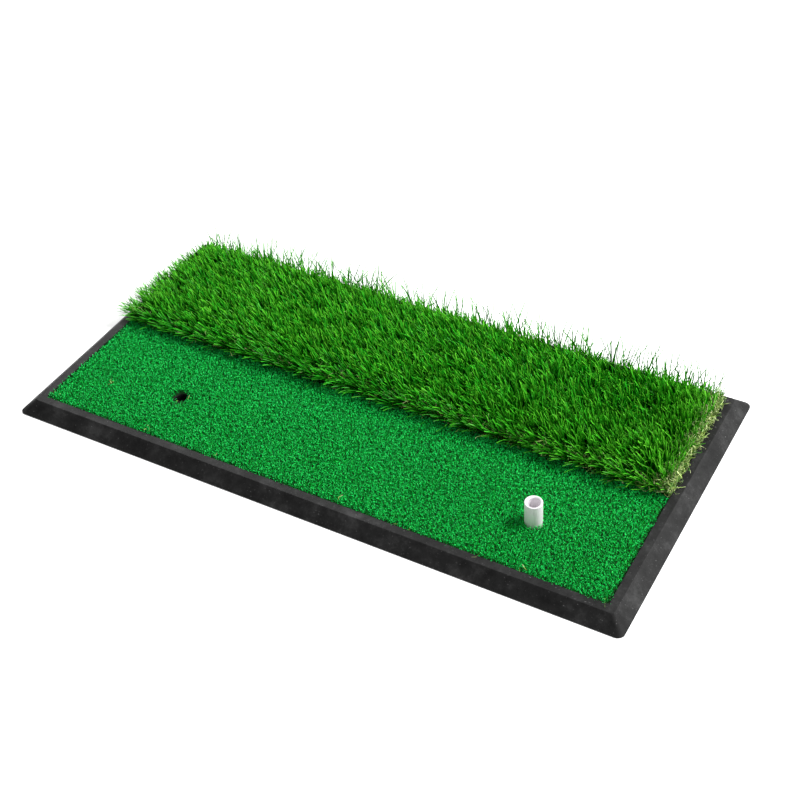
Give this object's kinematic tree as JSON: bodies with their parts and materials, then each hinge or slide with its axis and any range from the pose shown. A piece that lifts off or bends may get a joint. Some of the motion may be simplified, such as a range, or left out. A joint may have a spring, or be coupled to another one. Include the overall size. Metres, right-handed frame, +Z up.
{
  "type": "golf hitting mat",
  "caption": "Low bevelled rubber tray holding a short-pile fairway strip and a long-pile rough strip, with tee holes and a flexible hollow tee.",
  "frame": {"origin": "centre of the base's outline on the floor plane that the mat lies on", "axes": "+Z up; +X along the long side, towards the end with the tee; +Y towards the long-pile rough"},
  "size_m": [0.626, 0.312, 0.045],
  "materials": {
    "base_rubber": "matte moulded",
    "glue": "dull film",
    "turf_coating": "dull coating",
    "turf_cloth": "woven",
    "fairway_yarn": "short curled pile",
    "thatch_yarn": "curled pile",
    "rough_yarn": "long pile",
    "tee_rubber": "satin moulded"
  },
  "bodies": {
    "mat": {"rubber_base": "base_rubber", "fairway_glue": "glue", "fairway_coating": "turf_coating", "fairway_cloth": "turf_cloth", "fairway_pile": "fairway_yarn", "rough_glue": "glue", "rough_coating": "turf_coating", "rough_cloth": "turf_cloth", "rough_thatch": "thatch_yarn", "rough_pile": "rough_yarn"},
    "tee_foot": {"tee_foot": "tee_rubber"},
    "tee_tube": {"tee_tube": "tee_rubber"}
  },
  "joints": [
    {"name": "tee_pull_out", "type": "slide", "parent": "mat", "child": "tee_foot", "axis": [0, 0, -1], "range_m": [0, 0.036]},
    {"name": "tee_flex", "type": "hinge", "parent": "tee_foot", "child": "tee_tube", "pos_m": [0.1993, -0.078, 0.019], "axis": [0, 1, 0], "range_deg": [-60, 60], "stiffness_Nm_per_rad": 0.3}
  ]
}
